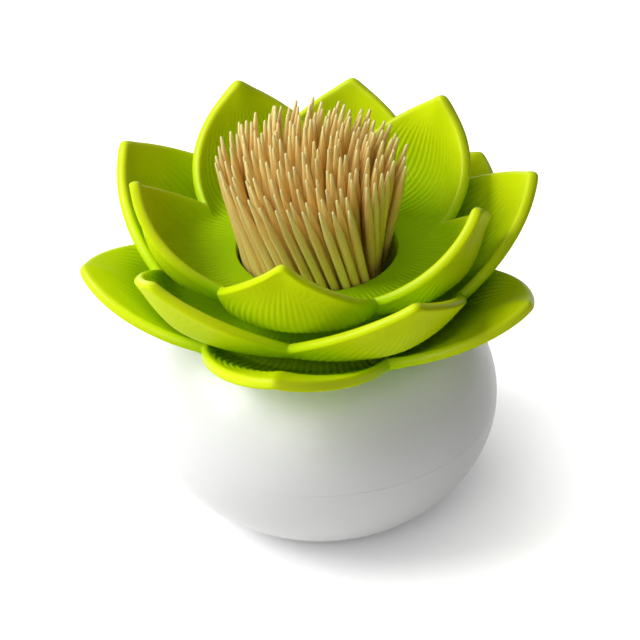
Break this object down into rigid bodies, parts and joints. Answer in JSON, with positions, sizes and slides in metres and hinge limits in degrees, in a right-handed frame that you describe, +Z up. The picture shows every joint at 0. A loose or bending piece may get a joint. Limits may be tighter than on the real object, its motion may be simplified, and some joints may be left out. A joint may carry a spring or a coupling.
{
  "type": "toothpick dispenser",
  "caption": "Lotus-flower toothpick dispenser: a head of stacked petal rings round a toothpick cup lifts off a round globe base.",
  "frame": {"origin": "centre of the flat foot, on the surface that the dispenser stands on", "axes": "+Z up along the axis of the globe and the cup; -Y towards the front, where a petal of the inner and of the outer ring points"},
  "size_m": [0.0948, 0.097, 0.0885],
  "materials": {
    "globe": "glossy white moulding",
    "petals": "satin lime green moulding with fine radiating ribs",
    "cup": "satin lime green moulding",
    "toothpicks": "bare bamboo"
  },
  "bodies": {
    "globe": {"base_shell": "globe", "top_shell": "globe"},
    "flower_head": {"outer_petals": "petals", "middle_petals": "petals", "inner_petals": "petals", "toothpick_cup": "cup", "retaining_ring": "cup"},
    "toothpicks": {"toothpick_row_1": "toothpicks", "toothpick_row_2": "toothpicks", "toothpick_row_3": "toothpicks", "toothpick_row_4": "toothpicks", "toothpick_row_5": "toothpicks", "toothpick_row_6": "toothpicks", "toothpick_row_7": "toothpicks"},
    "single_toothpick": {"middle_toothpick": "toothpicks"}
  },
  "joints": [
    {"name": "flower_lift", "type": "slide", "parent": "globe", "child": "flower_head", "axis": [0, 0, 1], "range_m": [0, 0.04]},
    {"name": "toothpick_draw", "type": "slide", "parent": "flower_head", "child": "toothpicks", "axis": [0, 0, 1], "range_m": [0, 0.065]},
    {"name": "single_toothpick_draw", "type": "slide", "parent": "flower_head", "child": "single_toothpick", "axis": [0, 0, 1], "range_m": [0, 0.07]}
  ]
}
